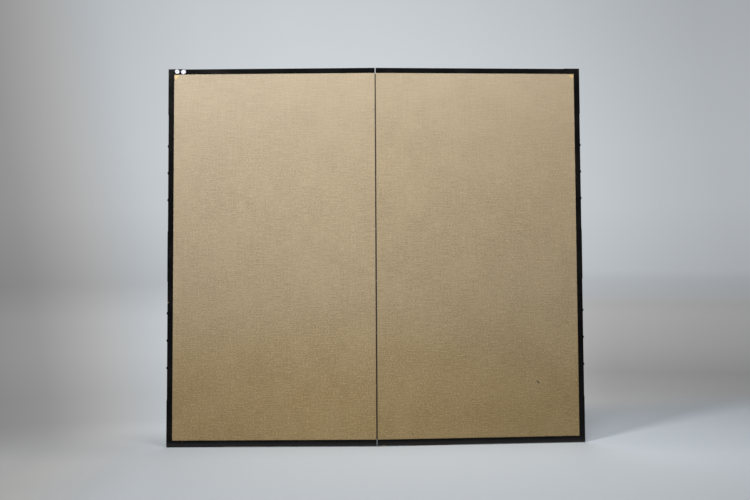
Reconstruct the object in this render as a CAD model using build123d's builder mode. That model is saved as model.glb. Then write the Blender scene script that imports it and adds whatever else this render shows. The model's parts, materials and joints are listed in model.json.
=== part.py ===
"""A two-panel folding screen (nikyoku byobu), standing nearly flat.

Each panel is a light cedar lattice, closed on both sides by a paper undercoat, with a coarse
cloth on its front and plain paper on its back.  Black lacquered strips run round its outer
side, its top and its bottom, hooked on hidden nails, with metal fittings and domed studs on
the outer side.  The fold side has no strip: there the panels hang together on paper hinge
strips that cross the gap by turns from one front to the other back, so that the screen folds
both ways.

Millimetres, +Z up, fronts towards -Y, floor at Z = 0, origin at the middle of the footprint.
A panel is drawn by three measures: its reach outwards from the fold line, its depth forwards
from the pivot line at its back, and its height above the floor.
"""
import os
from math import cos, radians, sin

from build123d import *

os.makedirs("parts", exist_ok=True)

# ---------------------------------------------------------------- driving dimensions
screen_height = 1700.0
panel_width = 939.0          # fold line to the outer face of the frame
rest_fold = 5.0              # degrees that the standing screen is folded back from flat

# lacquered frame
frame_depth = 21.0
stile_width = 25.0
top_rail_width = 23.4
bottom_rail_width = 30.6
frame_arris = 1.3            # rounding of the long outer edges
rail_setback = 1.7           # rail end back from the fold line
fold_clearance = 0.2         # each pivot line lies this far outside the frame's faces

# cedar lattice
core_thickness = 16.0
core_edge = 1.8              # fold side of the lattice back from the fold line
core_stile_width = 30.0
core_rail_width = 30.0
bar_width = 14.0
upright_count = 4
crossbar_count = 9
tenon_length = 10.0
tenon_thickness = 5.0
tenon_shoulder = 2.0
bridle_thickness = 5.4
joint_clearance = 0.1

# paper and cloth
undercoat_thickness = 0.7
cloth_thickness = 0.8
back_paper_thickness = 0.3

# paper hinge
hinge_band_count = 7
hinge_band_gap = 1.2
hinge_end_margin = 2.0
hinge_wing_width = 45.0
hinge_wing_edge = 0.5        # free edge of a wing back from the fold line
hinge_web_thickness = 0.4
hinge_web_lean = 0.2         # each end of a web stands this far off the fold line

# hooked nails between lattice and frame
nail_size = 3.0
nail_in_core = 12.0
nail_in_frame = 8.0
nail_hook = 9.0
nail_slide = 4.0             # room for the strip to slide home on its hooks
stile_nail_count = 5
rail_nail_count = 4

# metal fittings on the outer side
plate_thickness = 1.8
plate_width = 17.0
plate_corner_radius = 1.6
plate_scallop = 4.5
plate_bevel = 0.7
corner_plate_length = 210.0
corner_plate_top_leg = 70.0
corner_plate_floor_gap = 2.0
centre_plate_length = 232.0
stud_radius = 7.0
stud_height = 2.7
stud_first = 255.0           # from mid-height to the nearest studs
stud_pitch = 122.0
stud_count = 3               # above and below mid-height
stud_shank = 3.0             # square, forged
stud_shank_length = 12.0

# gilt corner piece
gilt_reach = 20.0
gilt_drop = 19.5
gilt_inset = 4.5             # of its right angle from the strips
gilt_thickness = 0.4

# ---------------------------------------------------------------- depths, from the pivot line
half_fold = radians(rest_fold / 2)
frame_back = fold_clearance
frame_front = frame_back + frame_depth
mid_depth = frame_back + frame_depth / 2
core_back = mid_depth - core_thickness / 2
core_front = mid_depth + core_thickness / 2
cloth_back = core_front + undercoat_thickness
cloth_front = cloth_back + cloth_thickness
undercoat_back_face = core_back - undercoat_thickness
paper_back_face = undercoat_back_face - back_paper_thickness

# reaches, outwards from the fold line
core_outer = panel_width - stile_width
core_stile_inner = core_edge + core_stile_width
core_outer_stile_inner = core_outer - core_stile_width
core_width = core_outer - core_edge

# heights, above the floor
core_bottom = bottom_rail_width
core_top = screen_height - top_rail_width
core_height = core_top - core_bottom
lattice_bottom = core_bottom + core_rail_width
lattice_top = core_top - core_rail_width
mid_height = screen_height / 2

# bars stand at even spaces between the members of the lattice's own frame
bay_width = (core_outer_stile_inner - core_stile_inner - upright_count * bar_width) / (upright_count + 1)
bay_height = (lattice_top - lattice_bottom - crossbar_count * bar_width) / (crossbar_count + 1)
upright_reaches = [
    core_stile_inner + bay_width + bar_width / 2 + i * (bay_width + bar_width)
    for i in range(upright_count)
]
crossbar_heights = [
    lattice_bottom + bay_height + bar_width / 2 + i * (bay_height + bar_width)
    for i in range(crossbar_count)
]

# hinge bands, counted from the bottom: odd ones run from the left front to the right back
hinge_bottom = core_bottom + hinge_end_margin
band_pitch = (core_top - hinge_end_margin - hinge_bottom) / hinge_band_count
band_height = band_pitch - hinge_band_gap
band_heights = [hinge_bottom + (i + 0.5) * band_pitch for i in range(hinge_band_count)]
odd_bands = band_heights[0::2]
even_bands = band_heights[1::2]

# The pivot line stands where the footprint of the standing screen is centred on the origin.
footprint_back = (panel_width - frame_arris) * sin(half_fold) \
    - (frame_back + frame_arris) * cos(half_fold) + frame_arris
footprint_front = rail_setback * sin(half_fold) - frame_front * cos(half_fold)
pivot_y = -(footprint_back + footprint_front) / 2

LEFT = -1
RIGHT = 1
PANELS = {"left": LEFT, "right": RIGHT}


# ---------------------------------------------------------------- planes of a panel
def to_right(side):
    """Direction along a panel's face, towards the screen's right."""
    return Vector(cos(half_fold), side * sin(half_fold), 0)


def to_front(side):
    """Direction square out of a panel's front."""
    return Vector(side * sin(half_fold), -cos(half_fold), 0)


def place(side, reach, depth, height):
    """A point of a panel in the screen's own frame."""
    return Vector(0, pivot_y, height) + to_right(side) * (side * reach) + to_front(side) * depth


def face_plane(side, depth):
    """Front elevation at a depth: X is side times reach, Y is height, extrusions go forwards."""
    return Plane(origin=place(side, 0, depth, 0), x_dir=to_right(side), z_dir=to_front(side))


def plan_plane(side, height):
    """Plan at a height: X is side times reach, Y is minus the depth, extrusions go up."""
    return Plane(origin=place(side, 0, 0, height), x_dir=to_right(side), z_dir=(0, 0, 1))


def edge_plane(side, reach):
    """View of the panel's edge at a reach, centred on its thickness: Y is height, outwards."""
    outwards = to_right(side) * side
    return Plane(
        origin=place(side, reach, mid_depth, 0),
        x_dir=Vector(0, 0, 1).cross(outwards),
        z_dir=outwards,
    )


def bar_on_face(side, reaches, heights):
    """A rectangle of a front elevation between two reaches and two heights."""
    centre = (side * sum(reaches) / 2, sum(heights) / 2)
    with Locations(centre):
        Rectangle(reaches[1] - reaches[0], heights[1] - heights[0])


def save(piece, label):
    """Label a finished piece and write its STEP file."""
    piece.part.label = label
    export_step(piece.part, f"parts/{label}.step")


# ---------------------------------------------------------------- cedar lattice
def mortises(side, reaches, heights):
    """Cut one mortise of the tenons' size, with its clearance, out of a member."""
    grow = joint_clearance
    with BuildSketch(face_plane(side, mid_depth - tenon_thickness / 2 - grow)) as mortise:
        bar_on_face(side, reaches, heights)
    extrude(mortise.sketch, amount=tenon_thickness + 2 * grow, mode=Mode.SUBTRACT)


def nail_holes_beside(side, heights):
    """Cut the holes of the nails that stand out of the outer stile's edge."""
    with BuildSketch(face_plane(side, mid_depth - nail_size / 2)) as holes:
        for height in heights:
            bar_on_face(
                side,
                (core_outer - nail_in_core, core_outer),
                (height - nail_size / 2, height + nail_size / 2),
            )
    extrude(holes.sketch, amount=nail_size, mode=Mode.SUBTRACT)


def nail_holes_above(side, reaches, edge, inwards):
    """Cut the holes of the nails in a lattice rail's edge; inwards is 1 up or -1 down."""
    with BuildSketch(face_plane(side, mid_depth - nail_size / 2)) as holes:
        for reach in reaches:
            bar_on_face(
                side,
                (reach - nail_size / 2, reach + nail_size / 2),
                sorted((edge, edge + inwards * nail_in_core)),
            )
    extrude(holes.sketch, amount=nail_size, mode=Mode.SUBTRACT)


stile_nail_heights = [
    core_bottom + (i + 0.5) * core_height / stile_nail_count for i in range(stile_nail_count)
]
rail_nail_reaches = [
    core_edge + (i + 0.5) * core_width / rail_nail_count for i in range(rail_nail_count)
]


def build_core_stile(side, inner, outer, mortise_reaches, nails, label):
    """A lattice stile, slotted at both ends for the rails' tongues."""
    half_tenon = bar_width / 2 - tenon_shoulder + joint_clearance
    with BuildPart() as core_stile:
        with BuildSketch(face_plane(side, core_back)):
            bar_on_face(side, (inner, outer), (core_bottom, core_top))
        extrude(amount=core_thickness)
        with BuildSketch(face_plane(side, mid_depth - bridle_thickness / 2)):
            bar_on_face(side, (inner, outer), (core_bottom, lattice_bottom))
            bar_on_face(side, (inner, outer), (lattice_top, core_top))
        extrude(amount=bridle_thickness, mode=Mode.SUBTRACT)
        for height in crossbar_heights:
            mortises(side, mortise_reaches, (height - half_tenon, height + half_tenon))
        if nails:
            nail_holes_beside(side, stile_nail_heights)
    save(core_stile, label)


def build_core_rail(side, bottom, top, mortise_heights, nail_edge, inwards, label):
    """A lattice rail, whose tongues pass through the slotted ends of the stiles."""
    half_tenon = bar_width / 2 - tenon_shoulder + joint_clearance
    with BuildPart() as core_rail:
        with BuildSketch(face_plane(side, core_back)):
            bar_on_face(side, (core_stile_inner, core_outer_stile_inner), (bottom, top))
        extrude(amount=core_thickness)
        with BuildSketch(face_plane(side, mid_depth - bridle_thickness / 2)):
            bar_on_face(side, (core_edge, core_outer), (bottom, top))
        extrude(amount=bridle_thickness)
        for reach in upright_reaches:
            mortises(side, (reach - half_tenon, reach + half_tenon), mortise_heights)
        nail_holes_above(side, rail_nail_reaches, nail_edge, inwards)
    save(core_rail, label)


def build_core_uprights(side, label):
    """The upright bars, halved on their front where the crossbars lie in them."""
    with BuildPart() as core_uprights:
        with BuildSketch(face_plane(side, core_back)):
            for reach in upright_reaches:
                half = bar_width / 2
                bar_on_face(side, (reach - half, reach + half), (lattice_bottom, lattice_top))
        extrude(amount=core_thickness)
        with BuildSketch(face_plane(side, mid_depth - tenon_thickness / 2)):
            for reach in upright_reaches:
                half = bar_width / 2 - tenon_shoulder
                bar_on_face(
                    side,
                    (reach - half, reach + half),
                    (lattice_bottom - tenon_length, lattice_top + tenon_length),
                )
        extrude(amount=tenon_thickness)
        with BuildSketch(face_plane(side, mid_depth)):
            for height in crossbar_heights:
                half = bar_width / 2 + joint_clearance
                bar_on_face(side, (core_edge, core_outer), (height - half, height + half))
        extrude(amount=core_thickness / 2, mode=Mode.SUBTRACT)
    save(core_uprights, label)


def build_core_crossbars(side, label):
    """The crossbars, halved on their back over the uprights."""
    with BuildPart() as core_crossbars:
        with BuildSketch(face_plane(side, core_back)):
            for height in crossbar_heights:
                half = bar_width / 2
                reaches = (core_stile_inner, core_outer_stile_inner)
                bar_on_face(side, reaches, (height - half, height + half))
        extrude(amount=core_thickness)
        with BuildSketch(face_plane(side, mid_depth - tenon_thickness / 2)):
            for height in crossbar_heights:
                half = bar_width / 2 - tenon_shoulder
                bar_on_face(
                    side,
                    (core_stile_inner - tenon_length, core_outer_stile_inner + tenon_length),
                    (height - half, height + half),
                )
        extrude(amount=tenon_thickness)
        with BuildSketch(face_plane(side, core_back)):
            for reach in upright_reaches:
                half = bar_width / 2 + joint_clearance
                bar_on_face(side, (reach - half, reach + half), (core_bottom, core_top))
        extrude(amount=core_thickness / 2, mode=Mode.SUBTRACT)
    save(core_crossbars, label)


def build_lattice(name, side):
    """The four members and the two sets of bars of one panel's lattice."""
    deep = tenon_length + joint_clearance
    build_core_stile(
        side, core_edge, core_stile_inner, (core_stile_inner - deep, core_stile_inner),
        False, f"{name}_core_stile_fold",
    )
    build_core_stile(
        side, core_outer_stile_inner, core_outer,
        (core_outer_stile_inner, core_outer_stile_inner + deep),
        True, f"{name}_core_stile_outer",
    )
    build_core_rail(
        side, lattice_top, core_top, (lattice_top, lattice_top + deep),
        core_top, -1, f"{name}_core_rail_top",
    )
    build_core_rail(
        side, core_bottom, lattice_bottom, (lattice_bottom - deep, lattice_bottom),
        core_bottom, 1, f"{name}_core_rail_bottom",
    )
    build_core_uprights(side, f"{name}_core_uprights")
    build_core_crossbars(side, f"{name}_core_crossbars")


# ---------------------------------------------------------------- paper, cloth and hinge
def build_undercoat(side, back_face, wing_bands, label):
    """A paper undercoat over one side of the lattice, let out where hinge wings lie."""
    wing_end = hinge_wing_edge + hinge_wing_width
    with BuildPart() as undercoat:
        with BuildSketch(face_plane(side, back_face)):
            bar_on_face(side, (core_edge, core_outer), (core_bottom, core_top))
            for height in wing_bands:
                with Locations((side * wing_end / 2, height)):
                    Rectangle(wing_end, band_height + 2 * joint_clearance, mode=Mode.SUBTRACT)
        extrude(amount=undercoat_thickness)
    save(undercoat, label)


def build_cover(side, back_face, thickness, turned_bands, turn_depths, label):
    """A covering over one side, turned in round the fold edge between the hinge wings."""
    turn_reaches = (core_edge - thickness, core_edge)
    with BuildPart() as cover:
        with BuildSketch(face_plane(side, back_face)):
            bar_on_face(side, (turn_reaches[0], core_outer), (core_bottom, core_top))
        extrude(amount=thickness)
        with BuildSketch(face_plane(side, turn_depths[0])):
            for height in turned_bands:
                heights = (height - band_height / 2, height + band_height / 2)
                bar_on_face(side, turn_reaches, heights)
        extrude(amount=turn_depths[1] - turn_depths[0])
    save(cover, label)


def build_hinge_wings(side, back_face, bands, label):
    """The pasted ends of the hinge strips, level with the undercoat they are let into."""
    with BuildPart() as hinge_wings:
        with BuildSketch(face_plane(side, back_face)):
            for height in bands:
                bar_on_face(
                    side,
                    (hinge_wing_edge, hinge_wing_edge + hinge_wing_width - joint_clearance),
                    (height - band_height / 2, height + band_height / 2),
                )
        extrude(amount=undercoat_thickness)
    save(hinge_wings, label)


def build_hinge_webs(side, bands, label):
    """The strips' free middles, slanting through the fold from this panel's front to the other back."""
    half = hinge_web_thickness / 2
    with BuildPart() as hinge_webs:
        with BuildSketch(*[plan_plane(side, height - band_height / 2) for height in bands]):
            with BuildLine():
                Polyline(
                    (side * (hinge_web_lean - half), -cloth_back),
                    (side * (hinge_web_lean + half), -cloth_back),
                    (side * (half - hinge_web_lean), -undercoat_back_face),
                    (side * (-half - hinge_web_lean), -undercoat_back_face),
                    close=True,
                )
            make_face()
        extrude(amount=band_height)
    save(hinge_webs, label)


def build_coverings(name, side):
    """Undercoats, cloth, back paper and hinge wings of one panel."""
    front_bands, back_bands = (odd_bands, even_bands) if side == LEFT else (even_bands, odd_bands)
    build_undercoat(side, core_front, front_bands, f"{name}_undercoat_front")
    build_undercoat(side, undercoat_back_face, back_bands, f"{name}_undercoat_back")
    build_cover(
        side, cloth_back, cloth_thickness, back_bands, (core_back, cloth_back),
        f"{name}_face_cloth",
    )
    build_cover(
        side, paper_back_face, back_paper_thickness, front_bands, (undercoat_back_face, core_front),
        f"{name}_back_paper",
    )
    build_hinge_wings(side, core_front, front_bands, f"{name}_hinge_wings_front")
    build_hinge_wings(side, undercoat_back_face, back_bands, f"{name}_hinge_wings_back")


# ---------------------------------------------------------------- lacquered frame
def mitre_plane(side, top):
    """The joint plane of an outer corner, facing the stile."""
    rail_width = top_rail_width if top else bottom_rail_width
    outer_height = screen_height if top else 0
    inner_height = core_top if top else core_bottom
    outer_corner = place(side, panel_width, mid_depth, outer_height)
    along = place(side, core_outer, mid_depth, inner_height) - outer_corner
    facing = along.cross(to_front(side)).normalized()
    towards_stile = place(side, panel_width, mid_depth, mid_height) - outer_corner
    if facing.dot(towards_stile) < 0:
        facing = -facing
    return Plane(origin=outer_corner, x_dir=to_front(side), z_dir=facing)


def hook_slots_beside(side):
    """Cut the slots in which a stile strip slides home on its hooked nails."""
    with BuildSketch(face_plane(side, mid_depth - nail_size / 2 - joint_clearance)) as slots:
        for height in stile_nail_heights:
            bar_on_face(
                side,
                (core_outer, core_outer + nail_in_frame + joint_clearance),
                (height - nail_size / 2 - nail_slide, height - nail_size / 2 + nail_hook + nail_slide),
            )
    extrude(slots.sketch, amount=nail_size + 2 * joint_clearance, mode=Mode.SUBTRACT)


def hook_slots_above(side, edge, outwards):
    """Cut the same slots in a rail strip; outwards is 1 at the top, -1 at the bottom."""
    with BuildSketch(face_plane(side, mid_depth - nail_size / 2 - joint_clearance)) as slots:
        for reach in rail_nail_reaches:
            bar_on_face(
                side,
                (reach - nail_size / 2 - nail_slide, reach - nail_size / 2 + nail_hook + nail_slide),
                sorted((edge, edge + outwards * (nail_in_frame + joint_clearance))),
            )
    extrude(slots.sketch, amount=nail_size + 2 * joint_clearance, mode=Mode.SUBTRACT)


def build_frame_stile(side, label):
    """The upright lacquered strip on the outer side."""
    with BuildPart() as frame_stile:
        with BuildSketch(plan_plane(side, 0)):
            with Locations((side * (panel_width - stile_width / 2), -mid_depth)):
                strip = Rectangle(stile_width, frame_depth)
            corners = strip.vertices().sort_by(Axis.X)
            fillet(corners[-2:] if side == RIGHT else corners[:2], frame_arris)
        extrude(amount=screen_height)
        split(bisect_by=mitre_plane(side, True), keep=Keep.TOP)
        split(bisect_by=mitre_plane(side, False), keep=Keep.TOP)
        hook_slots_beside(side)
        with BuildSketch(edge_plane(side, panel_width)):
            with Locations(*[(0, height) for height in stud_heights]):
                Rectangle(stud_shank, stud_shank)
        extrude(amount=-stud_shank_length, mode=Mode.SUBTRACT)
    save(frame_stile, label)


def build_frame_rail(side, top, label):
    """A lacquered rail: square at the fold, mitred to the stile at the outer corner."""
    width = top_rail_width if top else bottom_rail_width
    middle = screen_height - width / 2 if top else width / 2
    with BuildPart() as frame_rail:
        with BuildSketch(edge_plane(side, rail_setback)):
            with Locations((0, middle)):
                strip = Rectangle(frame_depth, width)
            corners = strip.vertices().sort_by(Axis.Y)
            fillet(corners[-2:] if top else corners[:2], frame_arris)
        extrude(amount=panel_width - rail_setback)
        split(bisect_by=mitre_plane(side, top), keep=Keep.BOTTOM)
        hook_slots_above(side, core_top if top else core_bottom, 1 if top else -1)
    save(frame_rail, label)


def build_frame_nails(side, label):
    """Hooked nails: the shank is driven into the lattice, the hook holds the strip."""
    with BuildPart() as frame_nails:
        with BuildSketch(face_plane(side, mid_depth - nail_size / 2)):
            for height in stile_nail_heights:
                low = height - nail_size / 2
                end = core_outer + nail_in_frame
                bar_on_face(side, (core_outer - nail_in_core, end), (low, low + nail_size))
                bar_on_face(side, (end - nail_size, end), (low, low + nail_hook))
            for reach in rail_nail_reaches:
                near = reach - nail_size / 2
                for edge, outwards in ((core_top, 1), (core_bottom, -1)):
                    end = edge + outwards * nail_in_frame
                    shank = sorted((edge - outwards * nail_in_core, end))
                    hook = sorted((end - outwards * nail_size, end))
                    bar_on_face(side, (near, near + nail_size), shank)
                    bar_on_face(side, (near, near + nail_hook), hook)
        extrude(amount=nail_size)
    save(frame_nails, label)


# ---------------------------------------------------------------- metal fittings
stud_heights = [
    mid_height + way * (stud_first + i * stud_pitch) for way in (-1, 1) for i in range(stud_count)
]
top_plate_end = screen_height - corner_plate_length
bottom_plate_end = corner_plate_floor_gap + corner_plate_length


def top_face_plane(side):
    """The frame's top, centred on its thickness: X is side times reach, outwards is up."""
    return Plane(
        origin=place(side, 0, mid_depth, screen_height), x_dir=to_right(side), z_dir=(0, 0, 1)
    )


def scoop_end(plane, corners):
    """Scoop out the two corners of a plate's end, given as points of the plate's underside."""
    with BuildSketch(plane) as scoops:
        with Locations(*corners):
            Circle(plate_scallop)
    extrude(scoops.sketch, amount=plate_thickness, mode=Mode.SUBTRACT)


def build_top_corner_fitting(side, label):
    """A bent plate over the upper corner: a long leg down the side, a short one on top."""
    half = plate_width / 2
    outer = panel_width + plate_thickness
    with BuildPart() as top_corner_fitting:
        with BuildSketch(face_plane(side, mid_depth - half)):
            bar_on_face(side, (panel_width, outer), (top_plate_end, screen_height + plate_thickness))
            bar_on_face(
                side,
                (panel_width - corner_plate_top_leg, outer),
                (screen_height, screen_height + plate_thickness),
            )
            corner = Vector(side * outer, screen_height + plate_thickness, 0)
            fillet(vertices().sort_by_distance(corner)[0], plate_corner_radius)
        extrude(amount=plate_width)
        ends = [(-half, top_plate_end), (half, top_plate_end)]
        scoop_end(edge_plane(side, panel_width), ends)
        top_end = side * (panel_width - corner_plate_top_leg)
        scoop_end(top_face_plane(side), [(top_end, -half), (top_end, half)])
        bend_centre = place(side, outer, mid_depth, screen_height + plate_thickness)
        bend = faces().filter_by(GeomType.CYLINDER).sort_by_distance(bend_centre)[0]
        bevel_rim([faces().sort_by(outwards_axis(side))[-1], faces().sort_by(Axis.Z)[-1], bend])
    save(top_corner_fitting, label)


def bevel_rim(outer_faces):
    """Bevel the rim round a plate's outer faces, but not the bends between them."""
    borders = [edge for face in outer_faces for edge in face.edges()]
    rim = [edge for edge in borders if sum(edge.is_same(other) for other in borders) == 1]
    chamfer(rim, plate_bevel)


def outwards_axis(side):
    """The axis that sorts a panel's faces by their reach."""
    return Axis(place(side, 0, mid_depth, 0), to_right(side) * side)


def build_side_plate(side, bottom, top, scoop_bottom, label):
    """A straight plate on the outer side with scooped ends and a bevelled rim."""
    half = plate_width / 2
    with BuildPart() as side_plate:
        with BuildSketch(edge_plane(side, panel_width)):
            with Locations((0, (bottom + top) / 2)):
                Rectangle(plate_width, top - bottom)
            scooped = (bottom, top) if scoop_bottom else (top,)
            with Locations(*[(x, h) for x in (-half, half) for h in scooped]):
                Circle(plate_scallop, mode=Mode.SUBTRACT)
        extrude(amount=plate_thickness)
        bevel_rim([faces().sort_by(outwards_axis(side))[-1]])
    save(side_plate, label)


def build_studs(side, label):
    """Six domed studs between the plates, on square shanks driven into the stile."""
    dome_radius = (stud_radius ** 2 + stud_height ** 2) / (2 * stud_height)
    outwards = to_right(side) * side
    with BuildPart() as studs:
        for height in stud_heights:
            base = place(side, panel_width, mid_depth, height)
            with BuildSketch(Plane(origin=base, x_dir=outwards, z_dir=to_front(side))):
                with BuildLine():
                    Polyline((0, stud_radius), (0, 0), (stud_height, 0))
                    RadiusArc((stud_height, 0), (0, stud_radius), -dome_radius)
                make_face()
            revolve(axis=Axis(base, outwards))
        with BuildSketch(edge_plane(side, panel_width)):
            with Locations(*[(0, height) for height in stud_heights]):
                Rectangle(stud_shank, stud_shank)
        extrude(amount=-stud_shank_length)
    save(studs, label)


def build_gilt_corner(side, label):
    """A thin gilt triangle on the cloth, in the upper outer corner of the frame."""
    outer = core_outer - gilt_inset
    top = core_top - gilt_inset
    with BuildPart() as gilt_corner:
        with BuildSketch(face_plane(side, cloth_front)):
            with BuildLine():
                Polyline(
                    (side * outer, top),
                    (side * (outer - gilt_reach), top),
                    (side * outer, top - gilt_drop),
                    close=True,
                )
            make_face()
        extrude(amount=gilt_thickness)
    save(gilt_corner, label)


def build_frame_and_fittings(name, side):
    """Lacquered strips, their nails, and the metal on one panel."""
    build_frame_stile(side, f"{name}_frame_stile")
    build_frame_rail(side, True, f"{name}_frame_rail_top")
    build_frame_rail(side, False, f"{name}_frame_rail_bottom")
    build_frame_nails(side, f"{name}_frame_nails")
    build_top_corner_fitting(side, f"{name}_top_corner_fitting")
    build_side_plate(
        side, corner_plate_floor_gap, bottom_plate_end, False, f"{name}_bottom_corner_fitting"
    )
    build_side_plate(
        side, mid_height - centre_plate_length / 2, mid_height + centre_plate_length / 2,
        True, f"{name}_centre_fitting",
    )
    build_studs(side, f"{name}_studs")
    build_gilt_corner(side, f"{name}_gilt_corner")


# ---------------------------------------------------------------- the screen
for panel_name, panel_side in PANELS.items():
    build_lattice(panel_name, panel_side)
    build_coverings(panel_name, panel_side)
    build_frame_and_fittings(panel_name, panel_side)

build_hinge_webs(LEFT, odd_bands, "hinge_webs_odd")
build_hinge_webs(RIGHT, even_bands, "hinge_webs_even")
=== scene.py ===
# %% [markdown]
# # A two-panel folding screen
#
# A nikyoku byobu is two light lattice panels, papered on both sides, faced with coarse hemp cloth
# and edged with black lacquered strips.  Its construction is already there as a fixed frame of
# solids.  This lesson adds the finishes, the cloth, the small metal and soft studio light.
#
# The frame's box is kept before anything is added, and set beside the dressed screen's at the
# end.

# %% Load the fixed frame
import json
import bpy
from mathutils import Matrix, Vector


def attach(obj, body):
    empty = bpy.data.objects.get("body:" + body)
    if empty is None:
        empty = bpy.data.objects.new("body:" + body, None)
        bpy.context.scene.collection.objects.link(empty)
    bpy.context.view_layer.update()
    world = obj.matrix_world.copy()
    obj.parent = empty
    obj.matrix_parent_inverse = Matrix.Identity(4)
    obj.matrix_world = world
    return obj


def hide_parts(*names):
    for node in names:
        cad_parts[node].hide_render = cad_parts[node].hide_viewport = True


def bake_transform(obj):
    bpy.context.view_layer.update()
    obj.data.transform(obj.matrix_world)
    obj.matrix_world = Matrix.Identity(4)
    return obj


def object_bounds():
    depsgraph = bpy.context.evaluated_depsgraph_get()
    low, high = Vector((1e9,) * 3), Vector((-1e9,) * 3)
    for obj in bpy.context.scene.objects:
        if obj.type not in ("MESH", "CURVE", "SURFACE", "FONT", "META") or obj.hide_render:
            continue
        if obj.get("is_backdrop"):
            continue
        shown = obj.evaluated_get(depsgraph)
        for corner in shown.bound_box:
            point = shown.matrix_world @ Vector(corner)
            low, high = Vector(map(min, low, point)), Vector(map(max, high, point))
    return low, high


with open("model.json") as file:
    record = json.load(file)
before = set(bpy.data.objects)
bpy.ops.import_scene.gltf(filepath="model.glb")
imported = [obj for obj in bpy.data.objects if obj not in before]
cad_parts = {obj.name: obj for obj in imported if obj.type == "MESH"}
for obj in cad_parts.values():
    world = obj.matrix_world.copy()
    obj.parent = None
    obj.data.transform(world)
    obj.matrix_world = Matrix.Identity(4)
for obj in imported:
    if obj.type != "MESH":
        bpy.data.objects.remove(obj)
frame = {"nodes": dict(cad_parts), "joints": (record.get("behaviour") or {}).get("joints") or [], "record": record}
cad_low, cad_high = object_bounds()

from inspect import signature
from math import cos, pi, radians, sin

import bmesh
import bpy
import numpy as np
from mathutils import Euler, Matrix, Vector

solids = frame["nodes"]

# %% [markdown]
# ## Measuring a panel
#
# The screen stands folded back by five degrees, so neither panel is square to the axes.  Places
# are easier to say in a panel's own three measures: reach outwards from the fold, depth forwards
# from the line on which the backs are hinged, and height above the floor.  Two functions change
# between these and the frame's axes, for whole arrays of points at a time.
#
# The hinge line and the angle come from the joints, and the sizes from the solids, so nothing is
# measured twice.

# %% Panel measures
LEFT, RIGHT = -1, 1
PANELS = {"left": LEFT, "right": RIGHT}
MM = 0.001

joints = {joint["name"]: joint for joint in frame["joints"]}
hinge_y = joints["back_fold"]["pos_m"][1]
half_fold = radians(-joints["back_fold"]["range_deg"][0]) / 2


def place(side, reach, depth, height):
    """Points of the frame from a panel's measures, turned by half the fold."""
    reach, depth, height = np.broadcast_arrays(reach, depth, height)
    x = side * (reach * cos(half_fold) + depth * sin(half_fold))
    y = hinge_y + reach * sin(half_fold) - depth * cos(half_fold)
    return np.stack([x, y, height], axis=-1)


def way(side, outwards, forwards):
    """The direction of a step outwards and forwards on a panel."""
    return place(side, outwards, forwards, 0) - place(side, 0, 0, 0)


def measured(side, points):
    """A panel's measures from points of the frame: the same turn, taken back."""
    x, y, height = side * points[..., 0], points[..., 1] - hinge_y, points[..., 2]
    reach = x * cos(half_fold) + y * sin(half_fold)
    depth = x * sin(half_fold) - y * cos(half_fold)
    return np.stack([reach, depth, height], axis=-1)


def vertices_of(label):
    """The vertices of one solid in the frame's axes, one row each."""
    mesh = solids[label].data
    points = np.empty(len(mesh.vertices) * 3)
    mesh.vertices.foreach_get("co", points)
    return points.reshape(-1, 3)


def corners_of(label):
    """The vertices of one solid of a panel in that panel's measures."""
    return measured(PANELS[label.split("_")[0]], vertices_of(label))


def bands_of(heights):
    """The lowest and highest height of each band, from a banded solid's vertices."""
    return np.unique(np.round(heights, 5)).reshape(-1, 2)


stile = corners_of("left_frame_stile")
cloth = corners_of("left_face_cloth")
panel_width, strip_front, screen_height = stile.max(axis=0)
middle_depth = (strip_front + stile[:, 1].min()) / 2
cloth_edge, cloth_outer = cloth[:, 0].min(), cloth[:, 0].max()
cloth_front = cloth[:, 1].max()
cloth_bottom, cloth_top = cloth[:, 2].min(), cloth[:, 2].max()
print(f"panel {panel_width:.4f} x {screen_height:.4f} m, cloth front at depth {cloth_front:.4f} m")

# %% [markdown]
# ## The camera
#
# The camera stands a hand left of the middle, as high as the screen's middle and five metres away,
# with a normal lens.  It is stood upright, turned, tipped up and leant a little.  Its lens is
# shifted down and to the left, which puts the screen in the middle of the image.

# %% Camera
CAMERA_PLACE = Vector((-0.0330, -4.9145, 0.8772))
CAMERA_TURN = radians(-1.800)
CAMERA_TILT = radians(3.462)
CAMERA_LEAN = radians(-0.386)

LENS, SENSOR_WIDTH = 52, 36   # millimetres
LENS_SHIFT = (-0.0365, -0.0888)


def add_object(name, data):
    """Put a new object in the scene."""
    made = bpy.data.objects.new(name, data)
    bpy.context.collection.objects.link(made)
    return made


camera = add_object("camera", bpy.data.cameras.new("camera"))
camera.data.lens = LENS
camera.data.sensor_width = SENSOR_WIDTH
camera.data.shift_x, camera.data.shift_y = LENS_SHIFT
upright = Euler((pi / 2 + CAMERA_TILT, 0, CAMERA_TURN)).to_matrix().to_4x4()
leaning = Matrix.Rotation(CAMERA_LEAN, 4, "Z")
camera.matrix_world = Matrix.Translation(CAMERA_PLACE) @ upright @ leaning
bpy.context.scene.camera = camera
bpy.context.scene.view_settings.view_transform = "Standard"

# %% [markdown]
# ## Small helpers for node trees
#
# A material is a tree of nodes, and long sums are hard to read node by node.  So a node's output
# is wrapped in a class that knows plus, minus, times and divided by: each adds one Math node to
# the tree.  The functions below it add other kinds of node.
#
# A function of such fields can become a node group too.  The group's inputs have the names and
# the usual values of the function's; one without a value is a vector.

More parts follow.
